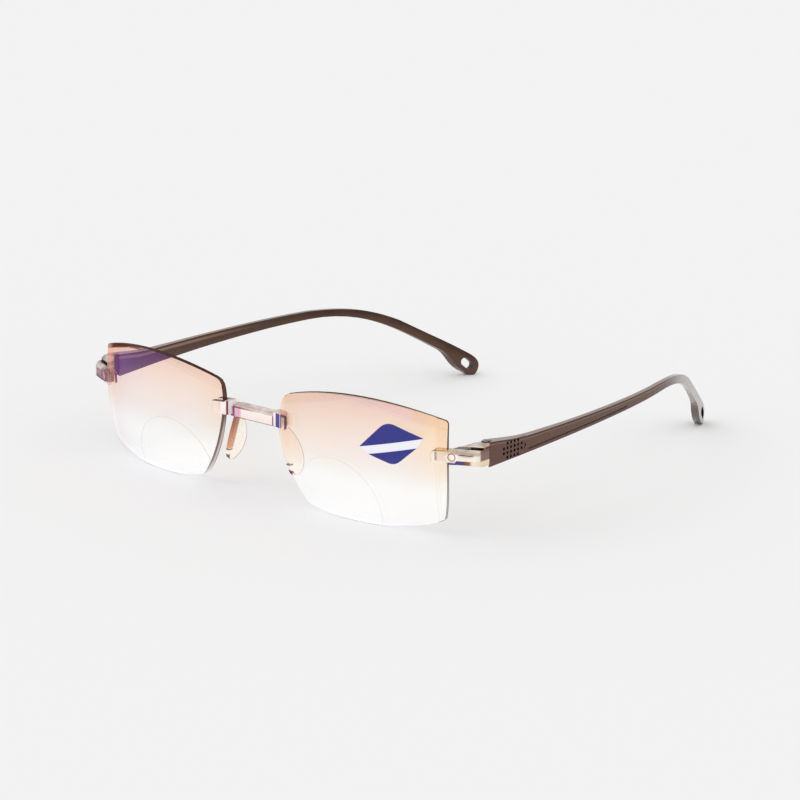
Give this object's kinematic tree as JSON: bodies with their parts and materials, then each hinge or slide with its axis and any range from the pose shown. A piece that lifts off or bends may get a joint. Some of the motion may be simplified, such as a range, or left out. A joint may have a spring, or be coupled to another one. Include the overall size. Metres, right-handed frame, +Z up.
{
  "type": "eyeglasses",
  "caption": "Rimless reading glasses with wrapped tinted lenses on a clear bridge and endpieces, nose pads, and slim folding temples with slotted drop tips.",
  "frame": {"origin": "centre of the bounding box's footprint, on the plane the glasses stand on when open (bottoms of the lenses and undersides of the temple tips)", "axes": "+X towards the wearer's left, +Y back along the temples, +Z up"},
  "size_m": [0.1396, 0.1588, 0.0347],
  "materials": {
    "lens": "gloss",
    "label": "gloss",
    "clear_plastic": "gloss",
    "pad": "gloss",
    "hinge": "satin",
    "screw": "satin",
    "temple": "satin"
  },
  "bodies": {
    "front": {"lens_left": "lens", "lens_right": "lens", "label_film": "label", "bridge": "clear_plastic", "nose_pad_left": "pad", "nose_pad_right": "pad", "endpiece_left": "clear_plastic", "endpiece_right": "clear_plastic", "lens_pin_left": "clear_plastic", "lens_pin_right": "clear_plastic", "hinge_block_left": "hinge", "hinge_block_right": "hinge", "hinge_screw_left": "screw", "hinge_screw_right": "screw"},
    "temple_left": {"temple_left": "temple", "hinge_tongue_left": "hinge"},
    "temple_right": {"temple_right": "temple", "hinge_tongue_right": "hinge"}
  },
  "joints": [
    {"name": "left_temple_hinge", "type": "hinge", "parent": "front", "child": "temple_left", "pos_m": [0.0676, -0.06217, 0.02218], "axis": [0, -0.0246, 0.9997], "range_deg": [0, 84]},
    {"name": "right_temple_hinge", "type": "hinge", "parent": "front", "child": "temple_right", "pos_m": [-0.0676, -0.06217, 0.02218], "axis": [0, 0.0246, -0.9997], "range_deg": [0, 80]}
  ]
}
